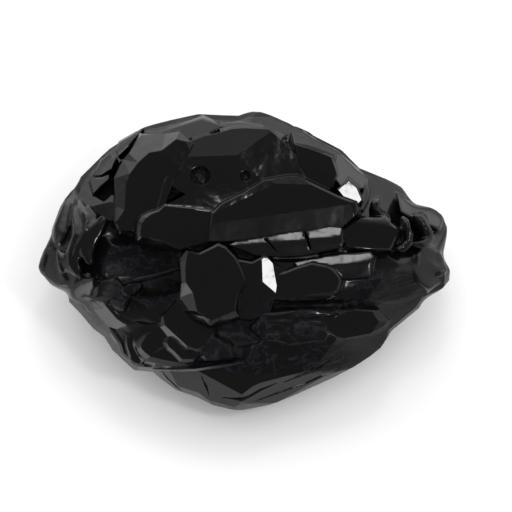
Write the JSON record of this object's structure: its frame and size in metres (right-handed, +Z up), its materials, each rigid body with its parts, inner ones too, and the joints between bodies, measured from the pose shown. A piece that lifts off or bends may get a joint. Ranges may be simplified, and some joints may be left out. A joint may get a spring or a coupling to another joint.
{
  "type": "polished obsidian stone",
  "caption": "Palm-sized lump of black volcanic glass with flat polished facets, ledges, flow ridges and a flat underside to rest on.",
  "frame": {"origin": "centre of the bounding box, at the flat underside that the stone rests on", "axes": "+X along the stone's length, toward its blunt end; +Z up; the show side faces up and toward -Y"},
  "size_m": [0.0998, 0.0758, 0.0475],
  "materials": {
    "volcanic_glass": "polished"
  },
  "bodies": {
    "root": {"obsidian": "volcanic_glass"}
  },
  "joints": []
}
